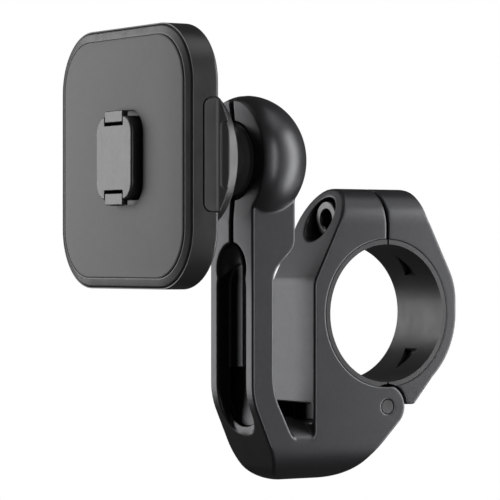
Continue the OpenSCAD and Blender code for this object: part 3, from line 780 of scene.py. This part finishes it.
def make_pawl(side, body):
    node = "pawl_top" if side > 0 else "pawl_bottom"
    low, high = corner_mm(node, 0), corner_mm(node, 1)
    grid = Grid(low - Vector((0.4, 0.4, 0.4)), high + Vector((0.4, 0.4, 0.4)), 0.1)
    z = side * (grid.z - HEAD_Z)
    hook = common(common(slab(z, PAWL_IN, PAWL_OUT), np.abs(grid.x) - PAWL_HALF, 0.2),
                  slab(grid.y, LATCH_Y, LATCH_Y + 1.5), 0.25)
    shank = common(common(slab(z, PAWL_IN, PAWL_FOOT_OUT), np.abs(grid.x) - PAWL_HALF, 0.15),
                   slab(grid.y, LATCH_Y + 1, high.y), 0.15)
    foot = common(slab(z, PAWL_FOOT_IN, PAWL_FOOT_OUT), np.abs(grid.x) - PAWL_HALF, 0.15)
    foot = common(foot, slab(grid.y, high.y - 1.5, high.y), 0.15)
    pawl = solid(node + "_hook", grid, join(join(hook, shank, 0.1), foot))
    dressed(pawl, LATCH_METAL, "latch_metal", body, node)


def button_outline():
    """Cap and finger wing, seen along Z, on the +X side."""
    flush = PLATE_W / 2
    wing_x, wing_y = corner_mm("button_right", 1).x, corner_mm("button_right", 1).y
    inner, front = corner_mm("button_right", 0).x, corner_mm("button_right", 0).y
    return rounded([
        (inner, front, 0), (flush, front, 0.3), (flush, BACK_Y - 0.6, 2),
        (wing_x, wing_y - 0.7, 0.5), (wing_x - 0.6, wing_y, 0.4),
        (inner + 1.8, wing_y, 0.5), (inner + 1.2, BACK_Y + 0.3, 0), (inner, BACK_Y + 0.3, 0)])


def make_button(side, body):
    node = "button_right" if side > 0 else "button_left"
    low, high = corner_mm(node, 0), corner_mm(node, 1)
    grid = Grid(low - Vector((0.4, 0.4, 0.4)), high + Vector((0.4, 0.4, 0.4)), 0.12)
    x, z = side * grid.x, grid.z - HEAD_Z
    lens_r = 33.2
    plan = polygon(x, grid.y, button_outline())
    lens = disc(grid.y - (high.y - lens_r), z, lens_r)
    front = rounded_box(grid.y - low.y - 10, z, 10, (high.z - low.z) / 2, 2)
    button = common(common(plan, front, 0.25), lens, 0.3)
    # shallow recess for a fingertip along the wing
    lean = math.radians(32)
    mid_x, mid_y = PLATE_W / 2 + 0.72, BACK_Y + 1.05
    out = (x - mid_x) * math.cos(lean) - (grid.y - mid_y) * math.sin(lean)
    along = (x - mid_x) * math.sin(lean) + (grid.y - mid_y) * math.cos(lean)
    recess = common(rounded_box(along, z, 0.9, 7, 0.8), -0.1 - out)
    button = cut(button, recess, 0.3)
    made = solid(node + "_cap", grid, button)
    dressed(made, BUTTON_PLASTIC, "button_plastic", body, node)


def make_springs(side):
    """Two coils behind a button."""
    node = "button_springs_right" if side > 0 else "button_springs_left"
    low, high = corner_mm(node, 0), corner_mm(node, 1)
    seat, end = (low.x, high.x) if side > 0 else (high.x, low.x)
    coil_r, wire_r, turns, per_turn = 1.0, 0.2, 7, 20
    points, faces = [], []
    middle_y = (low.y + high.y) / 2
    for z in (low.z + coil_r + wire_r, high.z - coil_r - wire_r):
        start = len(points)
        steps, sides = turns * per_turn, 8
        for i in range(steps + 1):
            a = 2 * math.pi * i / per_turn
            x = seat + side * wire_r + (end - seat - 2 * side * wire_r) * i / steps
            for k in range(sides):
                b = 2 * math.pi * k / sides
                r = coil_r + wire_r * math.cos(b)
                points.append(((x + wire_r * math.sin(b)) * MM, (middle_y + r * math.cos(a)) * MM,
                               (z + r * math.sin(a)) * MM))
        for i in range(steps):
            for k in range(sides):
                here, nxt = start + i * sides, start + i * sides + sides
                faces.append((here + k, nxt + k, nxt + (k + 1) % sides, here + (k + 1) % sides))
        faces.append(tuple(start + k for k in range(sides)))
        faces.append(tuple(start + steps * sides + k for k in range(sides)))
    spring = finished(node + "_wire", points, faces, 60)
    dressed(spring, BRIGHT_STEEL, "bright_steel", "phone_plate", node)
    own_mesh(spring)


def finish_cad_nodes():
    """Materials, and small rounded edges, for the CAD nodes that stay as they are."""
    finishes = {
        "front_liner": (LINER, "liner_plastic"), "rear_liner": (LINER, "liner_plastic"),
        "hinge_pin": (BLACK_STEEL, "black_steel"), "socket_cup": (LINER, "liner_plastic"),
        "tension_washer": (BRIGHT_STEEL, "bright_steel"),
        "clamp_washer": (BRIGHT_STEEL, "bright_steel"),
        "thread_insert": (BRIGHT_STEEL, "bright_steel"),
        "retaining_screw": (BRIGHT_STEEL, "bright_steel"),
        "spin_washer": (LINER, "liner_plastic"), "magnets": (NICKEL, "magnet_nickel"),
        "shell_screws": (BLACK_STEEL, "black_steel"),
        "release_link_right": (BRIGHT_STEEL, "bright_steel"),
        "release_link_left": (BRIGHT_STEEL, "bright_steel")}
    for node, (material, slot_name) in finishes.items():
        thing = frame["nodes"][node]
        thing.data.materials.clear()
        thing.data.materials.append(material)
        edge = thing.modifiers.new("edges", "BEVEL")
        edge.width, edge.segments = 0.12 * MM, 2
        edge.limit_method, edge.angle_limit = "ANGLE", math.radians(40)


# ---- stage ----

def make_camera():
    """Level view from the side of the phone's face, through a long lens."""
    azimuth, rise = math.radians(57.02), math.radians(0.2)
    ahead = Vector((-math.sin(azimuth) * math.cos(rise), math.cos(azimuth) * math.cos(rise),
                    math.sin(rise)))
    aim = Vector((-15.0, -22.2, 14.6)) * MM
    data = bpy.data.cameras.new("camera")
    data.lens, data.sensor_width = 200, 36
    data.clip_start, data.clip_end = 0.01, 20
    camera = placed("camera", data)
    camera.location = aim - ahead * 0.649
    camera.rotation_euler = ahead.to_track_quat("-Z", "Y").to_euler()
    bpy.context.scene.camera = camera


STAGE_CENTRE = Vector((0, -0.03, 0.01))
AMBIENT = 0.05
# name: angle from +X towards +Y and rise in degrees, then distance, width and height in
# metres and power in watts
LIGHTS = {
    "key_left": (213, 6, 0.9, 0.6, 0.7, 4.2),
    "right_back": (64, 4, 0.26, 0.12, 0.35, 0.9),
    "right": (38, 5, 0.9, 0.25, 0.9, 0.1),
    "right_low": (45, -35, 0.9, 0.6, 0.3, 0.08),
    "strip": (4, 3, 0.9, 0.06, 0.9, 3.0),
    "top_back": (60, 60, 0.9, 0.6, 0.4, 1.0),
    "top_left": (225, 60, 0.9, 0.5, 0.3, 0.4),
}


def softbox(name, place, width, height, power):
    """Rectangular light that faces the part."""
    data = bpy.data.lights.new(name, "AREA")
    data.shape, data.size, data.size_y, data.energy = "RECTANGLE", width, height, power
    light = placed(name, data)
    light.location = place
    light.rotation_euler = (STAGE_CENTRE - place).to_track_quat("-Z", "Y").to_euler()


def make_stage():
    """White backdrop that lights only weakly, and soft lights round the part."""
    world = bpy.data.worlds.new("studio")
    bpy.context.scene.world = world
    world.use_nodes = True
    tree = world.node_tree
    shade = tree.nodes["Background"]
    shade.inputs["Color"].default_value = (1, 1, 1, 1)
    seen = tree.nodes.new("ShaderNodeLightPath").outputs["Is Camera Ray"]
    spread = tree.nodes.new("ShaderNodeMapRange")
    spread.inputs["To Min"].default_value = AMBIENT
    spread.inputs["To Max"].default_value = 1.0
    tree.links.new(seen, spread.inputs["Value"])
    tree.links.new(spread.outputs["Result"], shade.inputs["Strength"])
    for name, (azimuth, rise, reach, width, height, power) in LIGHTS.items():
        turn, lift = math.radians(azimuth), math.radians(rise)
        way = Vector((math.cos(turn) * math.cos(lift), math.sin(turn) * math.cos(lift),
                      math.sin(lift)))
        softbox(name, STAGE_CENTRE + way * reach, width, height, power)
    bpy.context.scene.view_settings.view_transform = "Standard"


make_camera()
make_arm()
make_rear_clamp()
make_screws()
make_ball_stud()
make_hub()
make_pad()
make_front_frame()
make_rear_shell()
make_latch()
make_pawl(1, "top_pawl")
make_pawl(-1, "bottom_pawl")
make_button(1, "right_button")
make_button(-1, "left_button")
make_springs(1)
make_springs(-1)
finish_cad_nodes()
make_stage()
